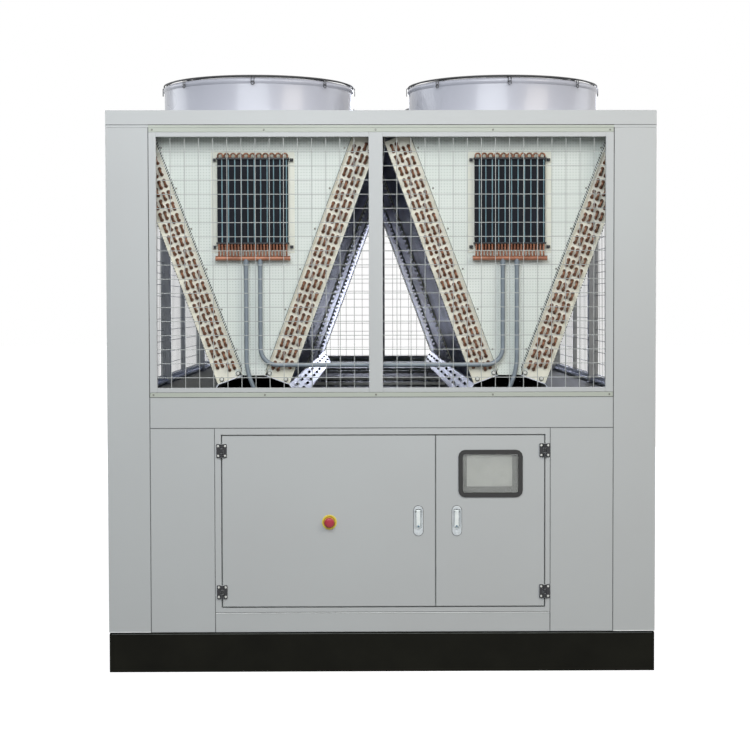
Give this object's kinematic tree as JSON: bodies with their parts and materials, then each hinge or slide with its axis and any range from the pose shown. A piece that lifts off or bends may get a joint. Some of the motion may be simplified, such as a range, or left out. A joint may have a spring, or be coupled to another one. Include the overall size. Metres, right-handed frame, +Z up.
{
  "type": "air-cooled process chiller",
  "caption": "Packaged air-cooled chiller: sloping condenser coils in V banks under roof fans, over a closed base with a control cabinet.",
  "frame": {"origin": "middle of the footprint, on the floor under the base frame", "axes": "+Z up, -Y towards the end with the control cabinet, +X to the right seen from that end"},
  "size_m": [2.28, 5.6278, 2.4955],
  "materials": {
    "panel_paint": "light grey powder coat, satin",
    "base_paint": "black enamel, semi-matt",
    "galvanised": "hot-dip galvanised sheet",
    "fin_pack": "close fins on copper tubes",
    "copper_coil": "drawn copper tube, lightly oxidised",
    "cowl_paint": "gloss powder coat",
    "deck_steel": "dark sheet steel",
    "rubber": "matt moulded rubber",
    "glass": "clear float glass",
    "stop_red": "moulded red plastic",
    "stop_yellow": "moulded yellow plastic",
    "chrome": "polished chrome"
  },
  "bodies": {
    "unit": {"base_frame": "base_paint", "corner_column_front_left": "panel_paint", "corner_column_front_right": "panel_paint", "corner_column_rear_left": "panel_paint", "corner_column_rear_right": "panel_paint", "lower_panel_front_left": "panel_paint", "lower_panel_front_right": "panel_paint", "plinth_panel": "panel_paint", "header_panel": "panel_paint", "rear_panel": "panel_paint", "side_panels_left": "panel_paint", "side_panels_right": "panel_paint", "control_cabinet": "panel_paint", "middle_deck": "deck_steel", "left_v_support": "galvanised", "right_v_support": "galvanised", "coil_1": "fin_pack", "coil_2": "fin_pack", "coil_3": "fin_pack", "coil_4": "fin_pack", "end_panel_front_left": "galvanised", "end_panel_front_right": "galvanised", "end_panel_rear_left": "galvanised", "end_panel_rear_right": "galvanised", "small_coil_left": "copper_coil", "small_coil_right": "copper_coil", "front_grille": "panel_paint", "rear_grille": "panel_paint", "side_grille_left": "panel_paint", "side_grille_right": "panel_paint", "roof_frame_front": "panel_paint", "roof_frame_middle": "panel_paint", "roof_frame_rear": "panel_paint", "fan_deck_front": "panel_paint", "fan_deck_middle": "panel_paint", "fan_deck_rear": "panel_paint", "fan_1": "cowl_paint", "fan_2": "cowl_paint", "fan_3": "cowl_paint", "fan_4": "cowl_paint", "fan_5": "cowl_paint", "fan_6": "cowl_paint", "fan_7": "cowl_paint", "fan_8": "cowl_paint", "fan_9": "cowl_paint", "fan_10": "cowl_paint", "fan_11": "cowl_paint", "fan_12": "cowl_paint"},
    "wide_door": {"left_door": "panel_paint", "emergency_stop_plate": "stop_yellow"},
    "narrow_door": {"right_door": "panel_paint", "window_gasket": "rubber", "window_glass": "glass"},
    "wide_door_lever": {"left_handle_lever": "chrome"},
    "narrow_door_lever": {"right_handle_lever": "chrome"},
    "stop_button": {"emergency_stop_button": "stop_red"}
  },
  "joints": [
    {"name": "wide_door_hinge", "type": "hinge", "parent": "unit", "child": "wide_door", "pos_m": [-0.667, -2.8066, 0.633], "axis": [0, 0, -1], "range_deg": [0, 110]},
    {"name": "narrow_door_hinge", "type": "hinge", "parent": "unit", "child": "narrow_door", "pos_m": [0.678, -2.8066, 0.633], "axis": [0, 0, 1], "range_deg": [0, 110]},
    {"name": "wide_door_lever_lift", "type": "hinge", "parent": "wide_door", "child": "wide_door_lever", "pos_m": [0.1512, -2.796, 0.6756], "axis": [-1, 0, 0], "range_deg": [0, 40]},
    {"name": "narrow_door_lever_lift", "type": "hinge", "parent": "narrow_door", "child": "narrow_door_lever", "pos_m": [0.3118, -2.796, 0.6756], "axis": [-1, 0, 0], "range_deg": [0, 40]},
    {"name": "stop_press", "type": "slide", "parent": "wide_door", "child": "stop_button", "axis": [0, 1, 0], "range_m": [0, 0.004]}
  ]
}
